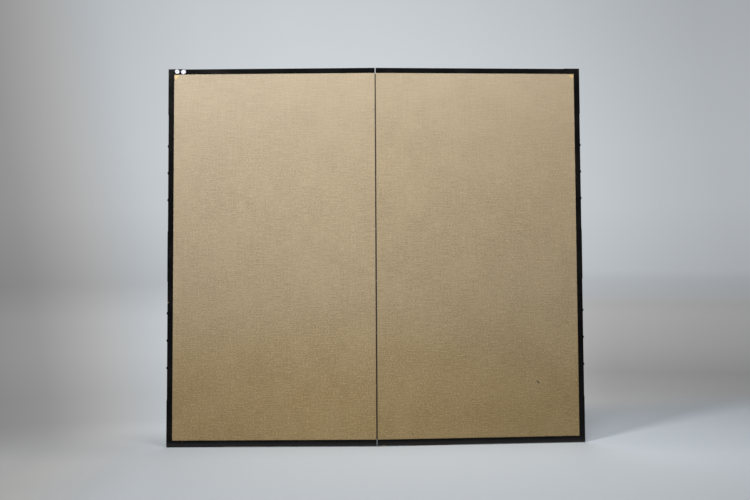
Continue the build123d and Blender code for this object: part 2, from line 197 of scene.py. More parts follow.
# %% Node helpers
class Field:
    """A node's output.  Sums and products of fields add Math nodes to the tree they are in."""

    def __init__(self, socket):
        self.socket, self.tree = socket, socket.id_data

    def __add__(self, other):
        return maths("ADD", self, other)

    def __sub__(self, other):
        return maths("SUBTRACT", self, other)

    def __rsub__(self, other):
        return maths("SUBTRACT", other, self)

    def __mul__(self, other):
        return maths("MULTIPLY", self, other)

    def __truediv__(self, other):
        return maths("DIVIDE", self, other)

    def __rtruediv__(self, other):
        return maths("DIVIDE", other, self)

    def __abs__(self):
        return maths("ABSOLUTE", self)


def tree_of(values):
    """The tree of the first field among some values."""
    return next(value.tree for value in values if isinstance(value, Field))


def fill(node, inputs):
    """Set or link a node's inputs: by name or number, or a plain row of them from the first."""
    pairs = inputs.items() if isinstance(inputs, dict) else enumerate(inputs)
    for key, value in pairs:
        if isinstance(value, Field):
            value = value.socket
        if isinstance(value, bpy.types.NodeSocket):
            node.id_data.links.new(value, node.inputs[key])
        else:
            node.inputs[key].default_value = value
    return node


def add_node(tree, kind, inputs=(), **settings):
    """Add a shader node, set its properties and fill its inputs."""
    made = tree.nodes.new("ShaderNode" + kind)
    for name, value in settings.items():
        setattr(made, name, value)
    return fill(made, inputs)


def maths(operation, *values, kind="Math"):
    """The output of one Math node, or of one Vector Math node."""
    return Field(add_node(tree_of(values), kind, values, operation=operation).outputs[0])


def held(value):
    """A value held between 0 and 1."""
    return maths("MINIMUM", maths("MAXIMUM", value, 0.0), 1.0)


def opaque(colour):
    """A plain colour with its alpha; a field stays as it is."""
    return (*colour, 1) if isinstance(colour, tuple) else colour


def mixed(factor, first, second):
    """A colour between two others."""
    inputs = {0: factor, 6: opaque(first), 7: opaque(second)}
    return Field(add_node(factor.tree, "Mix", inputs, data_type="RGBA").outputs[2])


def layered(base, *layers):
    """Colours laid over a base one after another, each through its own mask."""
    for mask, colour in layers:
        base = mixed(mask, base, colour)
    return base


def ranged(value, low, high, to_low=0.0, to_high=1.0):
    """A value taken smoothly from one range to another and held at its ends."""
    inputs = (value, low, high, to_low, to_high)
    made = add_node(value.tree, "MapRange", inputs, interpolation_type="SMOOTHSTEP")
    return Field(made.outputs[0])


def noise(vector, scale, detail=2.0, roughness=0.5, distortion=0.0):
    """A noise pattern's value, about 0.5 on average."""
    inputs = {
        "Vector": vector, "Scale": scale, "Detail": detail,
        "Roughness": roughness, "Distortion": distortion,
    }
    return Field(add_node(vector.tree, "TexNoise", inputs).outputs["Fac"])


def parts_of(vector):
    """The X, Y and Z of a vector."""
    return [Field(part) for part in add_node(vector.tree, "SeparateXYZ", (vector,)).outputs]


def node_group(work):
    """Make a node group of a function of fields.  Calling it then places the group in a tree."""
    group = bpy.data.node_groups.new(work.__name__, "ShaderNodeTree")
    form = signature(work)
    for name, parameter in form.parameters.items():
        kind = "NodeSocketVector" if parameter.default is None else "NodeSocketFloat"
        socket = group.interface.new_socket(name, in_out="INPUT", socket_type=kind)
        if parameter.default is not None:
            socket.default_value = parameter.default
    entry = group.nodes.new("NodeGroupInput").outputs
    results = work(*(Field(entry[name]) for name in form.parameters))
    for name in results:
        group.interface.new_socket(name, in_out="OUTPUT", socket_type="NodeSocketFloat")
    fill(group.nodes.new("NodeGroupOutput"), results)

    def placed(*values, **named):
        """Place the group; gives its one output, or several by name."""
        inputs = form.bind(*values, **named).arguments
        made = tree_of(inputs.values()).nodes.new("ShaderNodeGroup")
        made.node_tree = group
        fill(made, inputs)
        outputs = {output.name: Field(output) for output in made.outputs}
        return outputs if len(outputs) > 1 else outputs.popitem()[1]
    return placed


def new_material(name):
    """A material with a Principled shader; gives the material and the shader."""
    material = bpy.data.materials.new(name)
    material.use_nodes = True
    return material, material.node_tree.nodes["Principled BSDF"]


def object_place(shader):
    """The coordinates of the piece itself, in metres."""
    return Field(add_node(shader.id_data, "TexCoord").outputs["Object"])


def set_bump(shader, height, distance):
    """Let a height pattern, 0 to 1 over a distance in metres, tilt the shader's normal."""
    inputs = {"Height": height, "Distance": distance}
    fill(shader, {"Normal": add_node(shader.id_data, "Bump", inputs).outputs[0]})


# %% [markdown]
# ## Floor, backdrop and light
#
# The screen stands on a wide pale floor under a pale sky, like seamless studio paper.  A sheet of
# real paper would rise behind the screen and hide it from the other side, so the floor's colour
# fades into the world's with distance instead.
#
# The world gives two things: the backdrop's colour, which the camera and glossy surfaces see, and
# the soft light that falls on everything.  Light Path tells them apart.  The backdrop's colour is a
# painted pool of light, a product of ramps over the rise of the direction and across it.  A third
# ramp paints the screen's shadow into the cove at the right.  Dark parts are neutral, bright ones
# bluish.
#
# The lamps are large, so the light has no hard edge.  Two hang high in front, the stronger one on
# the left, and make the cloth brighter at the top than at the foot.  A third lights the back.

# %% Backdrop colours
AMBIENT_COLOUR = (0.93, 0.97, 1.0)
AMBIENT_STRENGTH = 0.10
PAPER_TINT = (0.943, 1.0, 1.048)
NEUTRAL = (1.0, 1.0, 1.0)
# Each stop: the direction's rise, which is the sine of its angle, and the painted light's brightness.
RISE_STOPS = (
    (-0.18, 1.22), (-0.166, 1.14), (-0.157, 1.05), (-0.146, 0.94), (-0.125, 0.92),
    (-0.09, 0.995), (-0.06, 0.99), (-0.03, 0.832), (0.0, 0.895), (0.04, 0.973), (0.09, 0.986),
    (0.15, 0.948), (0.24, 0.86), (0.60, 0.80),
)
# Each stop: how far the direction points to the right, and the painted light's brightness.
ACROSS_STOPS = (
    (-1.0, 0.50), (-0.50, 0.34), (-0.36, 0.24), (-0.30, 0.303), (-0.24, 0.459), (-0.19, 0.578),
    (-0.12, 0.659), (-0.04, 0.70), (0.04, 0.694), (0.12, 0.659), (0.20, 0.596), (0.27, 0.513),
    (0.32, 0.468), (0.50, 0.42), (1.0, 0.50),
)
LEANING = 0.155               # of the ramp across, for each unit of rise
# Each stop: the direction's rise, and how dark the painted shadow in the cove is.
COVE_STOPS = ((-0.135, 0.38), (-0.11, 0.484), (-0.08, 0.372), (-0.05, 0.288), (-0.02, 0.0))
COVE_ACROSS = (0.08, 0.22)    # to the right, where the cove's shade begins and is full
NEUTRAL_LEFT = (-0.205, -0.255)
NEUTRAL_COVE = (0.15, 0.30)
SEEN_FROM = (0.0, -5.0, 0.88)   # the floor's far parts match the backdrop from here


def grey_ramp(value, stops):
    """Grey levels between stops, over the range from the first stop to the last."""
    low, high = stops[0][0], stops[-1][0]
    part = add_node(value.tree, "MapRange", (value, low, high, 0.0, 1.0)).outputs[0]
    ramp = add_node(value.tree, "ValToRGB", (part,))
    elements = ramp.color_ramp.elements
    while len(elements) < len(stops):
        elements.new(0.5)
    for element, (at, level) in zip(elements, stops):
        element.position = (at - low) / (high - low)
        element.color = (level, level, level, 1)
    return Field(ramp.outputs[0])


def backdrop_colour(direction):
    """The backdrop's colour in one direction: a painted pool of light, and the cove's painted shadow."""
    across, _, rise = parts_of(direction)
    leaning = rise * LEANING + across
    # Painted shadow of the screen in the cove, under a painted pool of light.
    cove = grey_ramp(rise, COVE_STOPS) * ranged(across, *COVE_ACROSS)
    level = grey_ramp(rise, RISE_STOPS) * grey_ramp(leaning, ACROSS_STOPS) * (1.0 - cove)
    neutral = maths("MAXIMUM", ranged(leaning, *NEUTRAL_LEFT), ranged(cove, *NEUTRAL_COVE))
    return maths("MULTIPLY", mixed(neutral, PAPER_TINT, NEUTRAL), level, kind="VectorMath")


def seen_directly(tree):
    """1 for rays of the camera, of reflections and through glass, 0 for those that carry light."""
    path = add_node(tree, "LightPath").outputs
    seen, *others = (Field(path[f"Is {ray} Ray"]) for ray in ("Camera", "Glossy", "Transmission"))
    for other in others:
        seen = maths("MAXIMUM", seen, other)
    return seen


world = bpy.data.worlds.new("studio")
bpy.context.scene.world = world
world.use_nodes = True
sky = world.node_tree
direction = Field(add_node(sky, "TexCoord").outputs["Generated"])
seen = seen_directly(sky)
fill(sky.nodes["Background"], {
    "Color": mixed(seen, AMBIENT_COLOUR, backdrop_colour(direction)),
    "Strength": seen * (1.0 - AMBIENT_STRENGTH) + AMBIENT_STRENGTH,
})

# %% Floor
FLOOR_COLOUR = (0.484, 0.518, 0.550)
FLOOR_NEUTRAL = (0.505, 0.505, 0.505)
FLOOR_NEUTRAL_LEFT = (-0.9, -1.35)
FLOOR_ROUGHNESS, FLOOR_SHINE = 0.9, 0.1
# Each stop: metres to the right, or to the back, and the brightness of the light painted on the floor there.
FLOOR_ACROSS = (
    (-1.90, 0.63), (-1.48, 0.63), (-1.28, 0.70), (-1.08, 0.75), (-0.92, 0.84), (-0.48, 0.93),
    (0.15, 1.0), (0.75, 1.05), (1.50, 1.03),
)
FLOOR_ALONG = (
    (-1.60, 0.84), (-1.05, 0.90), (-0.75, 0.97), (-0.30, 1.10), (0.30, 1.12), (1.0, 1.05),
)
FLOOR_REACH = 120.0
FADE_OUT = (1.8, 6.0)         # by distance from the middle
FADE_BACK = (0.2, 1.0)        # by distance behind the screen, sooner on the left
SOONER = 0.35                 # metres sooner for each metre to the left
bpy.ops.mesh.primitive_plane_add(size=2 * FLOOR_REACH)
floor = bpy.context.object
floor.name = "floor"
floor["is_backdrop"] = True

floor_paint, shader = new_material("floor_paper")
tree = floor_paint.node_tree
where = object_place(shader)
right, back, _ = parts_of(where)
# Painted light falloff: dimmer to the left and towards the front, brightest near the screen; the paper is neutral
# at the dim left.
paper = mixed(ranged(right, *FLOOR_NEUTRAL_LEFT), FLOOR_COLOUR, FLOOR_NEUTRAL)
tone = grey_ramp(right, FLOOR_ACROSS) * grey_ramp(back, FLOOR_ALONG)
fill(shader, {
    "Base Color": maths("MULTIPLY", paper, tone, kind="VectorMath"),
    "Roughness": FLOOR_ROUGHNESS, "Specular IOR Level": FLOOR_SHINE,
})
away = maths("NORMALIZE", maths("SUBTRACT", where, SEEN_FROM, kind="VectorMath"), kind="VectorMath")
far_colour = add_node(tree, "Emission", {"Color": backdrop_colour(away)})
distance = Field(add_node(tree, "VectorMath", (where,), operation="LENGTH").outputs["Value"])
behind = back - right * SOONER
fade = maths("MAXIMUM", ranged(distance, *FADE_OUT), ranged(behind, *FADE_BACK))
sides = (fade * seen_directly(tree), shader.outputs[0], far_colour.outputs[0])
fill(tree.nodes["Material Output"], {"Surface": add_node(tree, "MixShader", sides).outputs[0]})
floor.data.materials.append(floor_paint)

# %% Lamps
LAMPS = {
    # name: place, aimed at, width and height, power in watts, colour
    "key_light": ((-1.95, -2.95, 2.85), (-0.2, 0.0, 0.9), (0.8, 0.6), 130.0, (1.0, 0.99, 0.98)),
    "top_light": ((0.7, -1.8, 3.0), (0.3, 0.0, 1.2), (1.4, 1.0), 61.0, (0.98, 0.99, 1.0)),
    "back_light": ((0.0, 3.2, 2.6), (0.0, 0.0, 0.9), (3.0, 1.6), 55.0, (0.96, 0.98, 1.0)),
}
for lamp_name, (position, target, size, power, tint) in LAMPS.items():
    lamp = bpy.data.lights.new(lamp_name, "AREA")
    lamp.shape, lamp.energy, lamp.color = "RECTANGLE", power, tint
    lamp.size, lamp.size_y = size
    made = add_object(lamp_name, lamp)
    made.location = position
    towards = Vector(target) - Vector(position)
    made.rotation_euler = towards.to_track_quat("-Z", "Y").to_euler()
print("lamps:", ", ".join(LAMPS))

# %% [markdown]
# ## Effects that several finishes share
#
# Old things are uneven in the same few ways: tone drifts in soft patches, thin edges rub through,
# small spots land on them, and paper shows its fibres.  Each effect is a node group, made once
# and placed in every finish with its own values.  The groups read the piece's own coordinates, so
# a pattern stays in its place when the screen folds.

# %% Group: soft patches
@node_group
def soft_patches(vector=None, size=0.1, contrast=0.5, seed=0.0):
    """Slow noise, stretched about its middle."""
    moved = maths("ADD", vector, seed, kind="VectorMath")
    return {"factor": held((noise(moved, 1.0 / size, detail=3.0) - 0.5) * contrast + 0.5)}

# %% Group: an edge rubbed through
RUB_LEAST, RUB_PER_AMOUNT, RUB_HARDNESS = 0.6, 0.5, 12.0


@node_group
def rubbed_edge(vector=None, distance=0.0, width=0.002, patch_size=0.02, amount=0.5):
    """Ragged wear that is strongest at the edge itself."""
    ragged = noise(vector, 1.0 / patch_size, detail=5.0, roughness=0.65)
    limit = RUB_LEAST - amount * RUB_PER_AMOUNT
    return {"mask": held(((1.0 - distance / width) * ragged - limit) * RUB_HARDNESS)}

# %% Group: one small spot or chip
RIM = (1.15, 0.75)            # of the radius, from outside to inside
RIM_SCALE = 700.0


@node_group
def spot(across=0.0, up=0.0, centre_across=0.0, centre_up=0.0, half_width=0.004,
         half_height=0.004, slant=0.0, raggedness=0.4):
    """An ellipse with a ragged rim."""
    aside = across - centre_across
    flat_part = aside / half_width
    tall_part = (aside * slant + (up - centre_up)) / half_height
    radius = maths("SQRT", flat_part * flat_part + tall_part * tall_part)
    where = Field(add_node(across.tree, "CombineXYZ", (across, up)).outputs[0])
    rough_rim = (noise(where, RIM_SCALE, detail=3.0) - 0.5) * raggedness
    return {"mask": ranged(rough_rim + radius, *RIM)}


def spots_of(paint, spots, across, up):
    """Layers of small spots; a place is side times reach, and height."""
    return [
        (spot(across, up, side * reach, height, *shape) * strength, paint)
        for side, reach, height, *shape, strength in spots
    ]

# %% Group: a panel's measures in a shader
@node_group
def panel_measures(position=None):
    """The sums of measured() for both panels at once: the left one is read mirrored."""
    x, y, z = parts_of(position)
    out, along = abs(x), y - hinge_y
    return {
        "reach": along * sin(half_fold) + out * cos(half_fold),
        "depth": out * sin(half_fold) - along * cos(half_fold),
        "height": z,
    }

# %% Group: paper fibres
@node_group
def paper_fibres(vector=None, length=0.01, thinness=14.0):
    """Where a noise passes through its middle value there is a thin curved line: a fibre."""
    off_middle = abs(noise(vector, 1.0 / length, detail=1.0, distortion=1.2) - 0.5)
    return {"mask": maths("MAXIMUM", 1.0 - off_middle * thinness, 0.0)}

# %% Group: plain weave
# Two sets of threads cross.  The product of two sines is positive in every other square of their
# grid: there the warp lies on top, elsewhere the weft.  Hand-spun hemp is uneven: long thin noises
# make single threads lighter, darker, thicker or thinner for a stretch.
# Each noise: the size of its features across and up, in metres, and its share.
SHORT_SLUBS = (0.0075, 0.0036, 0.68)
LONG_SLUBS = (0.042, 0.0042, 0.32)
WEFT_STREAKS = (0.120, 0.0030, 0.6)
WARP_STREAKS = (0.0034, 0.200, 0.4)


def stretched_noise(vector, across, up, share):
    """Noise with features of one size across and another up."""
    drawn = maths("MULTIPLY", vector, (1 / across, 1 / up, 1.0), kind="VectorMath")
    return noise(drawn, 1.0, roughness=0.6) * share


@node_group
def plain_weave(vector=None, threads_per_metre=900.0, slub=1.0):
    """The height of crossing threads, the tone of single ones, and long streaks in both sets."""
    across, up, _ = parts_of(maths("MULTIPLY", vector, threads_per_metre, kind="VectorMath"))
    wave_across, wave_up = maths("SINE", across * pi), maths("SINE", up * pi)
    over = wave_across * wave_up * 0.5
    warp, weft = abs(wave_across) * (over + 0.5), abs(wave_up) * (0.5 - over)
    slubs = stretched_noise(vector, *SHORT_SLUBS) + stretched_noise(vector, *LONG_SLUBS)
    return {
        "height": maths("MAXIMUM", warp, weft),
        "shade": (slubs - 0.5) * slub + 0.5,
        "streak": stretched_noise(vector, *WEFT_STREAKS) + stretched_noise(vector, *WARP_STREAKS),
    }


print("shared effects:", ", ".join(group.name for group in bpy.data.node_groups))

# %% [markdown]
# ## Hemp cloth
#
# The face is coarse hemp in its natural tan, about nine threads to the centimetre.  Its UV map, in
# metres, runs round the turned-in edge, and the threads follow it.  Colour comes from three
# scales: hand-wide patches where it has yellowed or greyed, streaks along the threads, and painted
# shade in the gaps between them.  Painted light brightens the upper middle; painted shade darkens
# the upper right, the foot and the edge along the fold.
#
# The shader's sheen would do for velvet; flat bast fibres have a broad, weak gloss instead: a
# plain specular lobe at a middling roughness.

# %% Material: hemp cloth
HEMP = (0.286, 0.208, 0.104)
# Painted shade: the darker, browner colour towards the foot.
HEMP_FOOT = (0.232, 0.152, 0.046)
HEMP_LIGHT = (0.400, 0.305, 0.165)
HEMP_DARK = (0.165, 0.110, 0.044)
HEMP_GREY = (0.282, 0.212, 0.114)
# Painted shade along the cloth's edge at the fold.
HEMP_HANDLED = (0.040, 0.027, 0.013)
HEMP_IOR = 1.55
WEAVE_DEPTH, SLUB_RELIEF = 0.00010, 0.6
# Each of these: a value from and to, and the strength of the effect at each.
GREYED = (0.35, 0.80, 0.0, 0.55)
DARK_THREADS = (0.30, 0.62, 0.60, 0.0)
LIGHT_THREADS = (0.42, 0.75, 0.0, 0.60)
DARK_STREAKS = (0.38, 0.60, 0.40, 0.0)
YELLOWED = (0.30, 0.75, 0.0, 0.10)
# Painted shade in the gaps between threads.
GAPS = (0.0, 0.45, 0.30, 0.0)
THREAD_ROUGHNESS = (0.2, 0.8, 0.62, 0.50)
SOILED_SHINE = (0.0, 1.0, 1.0, 0.5)
# The same for heights, for reaches beside the fold, or for metres to the right.
# Where the painted shade towards the foot begins and is full.
SOILED_UP = (0.85, 0.05)
UNEVEN_UP = (1.65, 1.0, 0.80, 1.55)
# Where the painted shade along the fold lies: by height, and by reach from the fold.
HANDLED_UP = (1.6, 0.6, 0.45, 0.85)
HANDLED_REACH = (0.0012, 0.0046, 1.0, 0.0)
# Painted light on the upper middle and painted shade on the upper right: where they lie, and how strong.
FADED_AT, FADED_ACROSS, FADED_UP, FADED = -0.10, (0.75, 0.15), (1.55, 1.15), 0.075
SHADED_ACROSS, SHADED_UP, SHADED = (0.05, 0.7), (1.2, 1.6), 0.060
STAIN = (0.035, 0.024, 0.014)
STAINS = (
    # side, reach, height, half width, half height, slant, strength
    (RIGHT, 0.7290, 0.2735, 0.0074, 0.0044, 0.80, 1.0),
    (RIGHT, 0.1575, 0.0536, 0.0035, 0.0033, 0.0, 0.75),
    (LEFT, 0.9097, 0.1301, 0.0024, 0.0030, 0.0, 0.6),
    (LEFT, 0.0058, 1.5084, 0.0026, 0.0034, 0.0, 0.7),
)
SPECK = (0.62, 0.60, 0.55)
SPECKS = ((RIGHT, 0.5063, 0.6222, 0.0013, 0.0013, 0.0, 0.8),)


def make_hemp():
    """Hemp cloth from its own UV map, in metres."""
    material, shader = new_material("hemp_cloth")
    flat = Field(add_node(material.node_tree, "UVMap", uv_map="UVMap").outputs[0])
    across, up, _ = parts_of(flat)
    threads = plain_weave(flat)
    # Painted shade towards the foot; the same mask lowers the shine there.
    soiled, uneven = ranged(up, *SOILED_UP), ranged(up, *UNEVEN_UP)
    greyed = soft_patches(flat, size=0.05, contrast=1.4, seed=9.0)
    yellowed = soft_patches(flat, size=0.16, contrast=1.6, seed=3.0)
    base = layered(
        HEMP,
        (ranged(greyed, *GREYED), HEMP_GREY),
        (soiled, HEMP_FOOT),
        (ranged(threads["shade"], *DARK_THREADS) * uneven, HEMP_DARK),
        (ranged(threads["shade"], *LIGHT_THREADS) * uneven, HEMP_LIGHT),
        (ranged(threads["streak"], *DARK_STREAKS), HEMP_DARK),
        (ranged(yellowed, *YELLOWED), HEMP_LIGHT),
        # Painted shade in the gaps between threads.
        (ranged(threads["height"], *GAPS), HEMP_DARK),
    )
    # Painted light brightens the upper middle; painted shade darkens the upper right.
    faded = ranged(abs(across - FADED_AT), *FADED_ACROSS) * ranged(up, *FADED_UP)
    shaded = ranged(across, *SHADED_ACROSS) * ranged(up, *SHADED_UP)
    level = 1.0 - shaded * SHADED + faded * FADED
    base = layered(
        maths("MULTIPLY", base, level, kind="VectorMath"),
        # Painted shade along the edge at the fold.
        (ranged(abs(across), *HANDLED_REACH) * ranged(up, *HANDLED_UP), HEMP_HANDLED),
        *spots_of(STAIN, STAINS, across, up),
        *spots_of(SPECK, SPECKS, across, up),
    )
    fill(shader, {
        "Base Color": base, "Roughness": ranged(threads["shade"], *THREAD_ROUGHNESS),
        "Specular IOR Level": ranged(soiled, *SOILED_SHINE), "IOR": HEMP_IOR,
    })
    set_bump(shader, threads["shade"] * SLUB_RELIEF + threads["height"], WEAVE_DEPTH)
    return material


hemp_cloth = make_hemp()
print("hemp cloth:", len(hemp_cloth.node_tree.nodes), "nodes")

# %% [markdown]
# ## Lacquer and bare wood
#
# The strips are wood under many thin coats of black lacquer, rubbed to a satin gloss.  Black is
# never empty: the coat is slightly wavy, handled places are duller, the lowest centimetres are
# greyer, and where the screen is set down and slid, the edge has worn through to a grey-brown
# ground.  A few small chips show the wood, and the sawn ends at the fold have no gloss.  Cedar
# grain is a noise drawn out along the wood; one group makes it for the lattice and for the chips.

# %% Group: wood grain
GRAIN_STRETCH = (1.0, 1.0, 0.04)
GRAIN_BEND_SCALE = 18.0


@node_group
def wood_grain(vector=None, ring_pitch=0.0025):
    """Fine rings and a slow bend, both drawn out along the height."""
    drawn = maths("MULTIPLY", vector, GRAIN_STRETCH, kind="VectorMath")
    rings = noise(drawn, 1.0 / ring_pitch, detail=4.0, roughness=0.6)
    return {"factor": noise(drawn, GRAIN_BEND_SCALE) * 0.5 + rings * 0.5}

# %% Material: lacquer
LACQUER = (0.0024, 0.0023, 0.0025)
LACQUER_RUBBED = (0.0060, 0.0052, 0.0050)
# The colour of the greyer lowest centimetres of the strips.
LACQUER_DUSTY = (0.0165, 0.0162, 0.0160)
GROUND_GREY = (0.150, 0.145, 0.135)
GROUND_BROWN = (0.105, 0.052, 0.034)
BARE_WOOD = (0.52, 0.33, 0.17)
WAVE_DEPTH, WORN_DEEPER = 0.00006, 0.5
RUBBED_TONE = (0.3, 0.8)
GLOSS = (0.25, 0.8, 0.12, 0.17)          # roughness, by how much a place is handled
WORN_ROUGHER = 0.3
DUSTY_UP = (0.028, 0.006)
SLID_FROM = (-0.74, -0.64)               # metres to the right, where the worn foot begins
FOOT_WEAR = (0.0048, 0.09, 0.92)         # width, patch size and amount
RIM_WEAR = (0.0016, 0.03, 0.45)
FOOT_STRENGTH, RIM_STRENGTH = 0.85, 0.35
BROWN_AT, BROWN_REACH = 0.235, (0.14, 0.06)
DULL_END = (0.0022, 0.0034, 0.0, 0.07)   # reach of the sawn ends at the fold, and their shine
CHIP_DEPTH = (float(strip_front) - 0.007, float(strip_front) - 0.004)
CHIPS = (
    # side, reach, height, half width, half height, slant, strength
    (LEFT, 0.9375, 0.6440, 0.0044, 0.0024, 0.0, 1.0),
    (LEFT, 0.2536, 1.6995, 0.0040, 0.0014, 0.0, 0.5),
    (RIGHT, 0.2598, 1.6995, 0.0040, 0.0014, 0.0, 0.5),
    (RIGHT, 0.0300, 0.0024, 0.0080, 0.0026, 0.0, 0.9),
    (LEFT, 0.8685, 0.0245, 0.0016, 0.0014, 0.0, 0.5),
)


def make_lacquer():
    """Satin black lacquer, worn to its ground along the foot."""
    material, shader = new_material("lacquer")
    where = object_place(shader)
    across, _, up = parts_of(where)
    panel = panel_measures(where)
    handled = soft_patches(where, size=0.12, contrast=1.8, seed=5.0)
    foot = rubbed_edge(where, panel["height"], *FOOT_WEAR) * ranged(across, *SLID_FROM)
    rim = rubbed_edge(where, float(panel_width) - panel["reach"], *RIM_WEAR)
    ground = mixed(ranged(abs(across - BROWN_AT), *BROWN_REACH), GROUND_GREY, GROUND_BROWN)
    base = layered(
        LACQUER,
        (ranged(handled, *RUBBED_TONE), LACQUER_RUBBED),
        # Greyer at the lowest centimetres.
        (ranged(panel["height"], *DUSTY_UP), LACQUER_DUSTY),
        (foot * FOOT_STRENGTH, ground),
        (rim * RIM_STRENGTH, GROUND_BROWN),
    )
    bare = mixed(wood_grain(where, ring_pitch=0.0012), BARE_WOOD, GROUND_BROWN)
    chipped = layered(base, *spots_of(bare, CHIPS, across, up))
    fill(shader, {
        "Base Color": mixed(ranged(panel["depth"], *CHIP_DEPTH), base, chipped),
        "Roughness": maths("MAXIMUM", foot, rim) * WORN_ROUGHER + ranged(handled, *GLOSS),
        "Specular IOR Level": ranged(panel["reach"], *DULL_END),
    })
    set_bump(shader, noise(where, scale=140.0, detail=3.0) - foot * WORN_DEEPER, WAVE_DEPTH)
    return material


lacquer = make_lacquer()

# %% Material: cedar
CEDAR = (0.60, 0.41, 0.25)
CEDAR_DARK = (0.40, 0.24, 0.13)
CEDAR_RINGS = (0.38, 0.62)
CEDAR_ROUGHNESS = (0.3, 0.7, 0.72, 0.60)
CEDAR_DEPTH = 0.00008


def make_cedar():
    """Planed cedar with its grain along the height."""
    material, shader = new_material("cedar")
    wood = wood_grain(object_place(shader), ring_pitch=0.0028)
    fill(shader, {
        "Base Color": mixed(ranged(wood, *CEDAR_RINGS), CEDAR, CEDAR_DARK),
        "Roughness": ranged(wood, *CEDAR_ROUGHNESS),
    })
    set_bump(shader, wood, CEDAR_DEPTH)
    return material


cedar = make_cedar()

# %% [markdown]
# ## Papers
#
# Five papers differ only in colour, fibre and age, so one function makes them all: the layered
# undercoat, the plain back paper, the paper of the hinges, near black as painted shade in the fold,
# and the white and the lilac paper of two small blank stickers.  The white one has a grey smudge in
# its middle.

# %% Materials: papers
PAPERS = {
    # name: colour, aged colour, fibre colour, fibre strength, patch contrast
    "undercoat": ((0.66, 0.60, 0.47), (0.52, 0.43, 0.29), (0.74, 0.68, 0.55), 0.5, 1.2),
    "back_paper": ((0.56, 0.50, 0.39), (0.50, 0.43, 0.32), (0.66, 0.60, 0.48), 0.55, 1.3),
    # The hinge paper is near black: painted shade in the fold between the panels.
    "hinge_paper": ((0.045, 0.035, 0.021), (0.026, 0.020, 0.012), (0.075, 0.060, 0.038), 0.4, 1.5),
    "white_sticker_paper": ((0.59, 0.61, 0.65), (0.54, 0.56, 0.60), (0.70, 0.70, 0.72), 0.3, 0.8),
    "lilac_sticker_paper": ((0.61, 0.59, 0.71), (0.56, 0.545, 0.66), (0.74, 0.72, 0.80), 0.3, 0.8),
}
PAPER_MARKS = {"white_sticker_paper": ((LEFT, 0.9008, 1.6897, 0.0034, 0.0034, 0.0, 0.7),)}
MARK_GREY = (0.36, 0.38, 0.38)
AGED_TONE = (0.25, 0.85)
PAPER_ROUGHNESS, PAPER_SHINE = (0.2, 0.8, 0.78, 0.88), 0.3
FIBRE_DEPTH = 0.00003


def make_paper(name, colour, aged, fibre, fibre_strength, contrast):
    """Handmade paper: fibres over a tone that drifts as it ages."""
    material, shader = new_material(name)
    where = object_place(shader)
    across, _, up = parts_of(where)
    drift = soft_patches(where, 0.20, contrast, seed=2.0)
    lines = paper_fibres(where, length=0.012, thinness=22.0)
    base = layered(
        colour, (ranged(drift, *AGED_TONE), aged), (lines * fibre_strength, fibre),
        *spots_of(MARK_GREY, PAPER_MARKS.get(name, ()), across, up),
    )
    fill(shader, {
        "Base Color": base, "Roughness": ranged(drift, *PAPER_ROUGHNESS),
        "Specular IOR Level": PAPER_SHINE,
    })
    set_bump(shader, lines + noise(where, scale=500.0), FIBRE_DEPTH)
    return material


papers = {name: make_paper(name, *values) for name, values in PAPERS.items()}

# %% [markdown]
# ## Metals
#
# The fittings are blackened metal: soft hammer marks under a dark skin with lighter, rubbed
# patches.  The nails inside are forged iron.  The corner pieces are gold leaf, so thin that its
# ground shows through: only partly a metal, with a broken gloss.

# %% Materials: metals
METALS = {
    # name: colour, second colour, patch size, roughness from and to, metallic, mark size, depth
    "black_metal": (
        (0.014, 0.014, 0.015), (0.040, 0.036, 0.033), 0.012, (0.38, 0.55), 1.0, 0.004, 0.00007
    ),
    "iron": ((0.060, 0.056, 0.052), (0.14, 0.075, 0.045), 0.006, (0.55, 0.75), 1.0, 0.003, 0.00010),
    "gilt": ((0.50, 0.340, 0.132), (0.42, 0.28, 0.105), 0.007, (0.42, 0.54), 0.3, 0.005, 0.00002),
}
SECOND_TONE, GLOSS_TONE = (0.35, 0.9), (0.2, 0.8)


def make_metal(name, colour, second, patch_size, gloss, metallic, mark_size, mark_depth):
    """A metal skin with soft hammer marks and a tone that changes in small patches."""
    material, shader = new_material(name)
    where = object_place(shader)
    drift = soft_patches(where, patch_size, contrast=2.0, seed=4.0)
    fill(shader, {
        "Base Color": mixed(ranged(drift, *SECOND_TONE), colour, second),
        "Roughness": ranged(drift, *GLOSS_TONE, *gloss), "Metallic": metallic,
    })
    inputs = {"Vector": where, "Scale": 1 / mark_size, "Smoothness": 0.6}
    dents = add_node(where.tree, "TexVoronoi", inputs, feature="SMOOTH_F1").outputs["Distance"]
    set_bump(shader, dents, mark_depth)
    return material


metals = {name: make_metal(name, *values) for name, values in METALS.items()}
print("materials:", ", ".join(sorted(material.name for material in bpy.data.materials)))

# %% [markdown]
# ## Dressing the fixed solids
#
# Most solids already have the right shape and only need the finish that the record names.

# %% Give every solid its finish
finishes = {**papers, **metals, "hemp_cloth": hemp_cloth, "lacquer": lacquer, "cedar": cedar}
for subpart in frame["record"]["subparts"]:
    solid = solids[subpart["node"]]
    solid.data.materials.clear()
    solid.data.materials.append(finishes[subpart["material_slot"]])

# %% [markdown]
# ## Surfaces from arrays
#
# A curved piece is a function of two parameters.  On a grid it gives rows and columns of points,
# and every cell is one face.  The next helper makes an object of such a grid.  Cells can be left
# out for an opening, and the last column can be joined to the first.

# %% From a grid of points to an object
SAME_PLACE = 1e-6             # metres


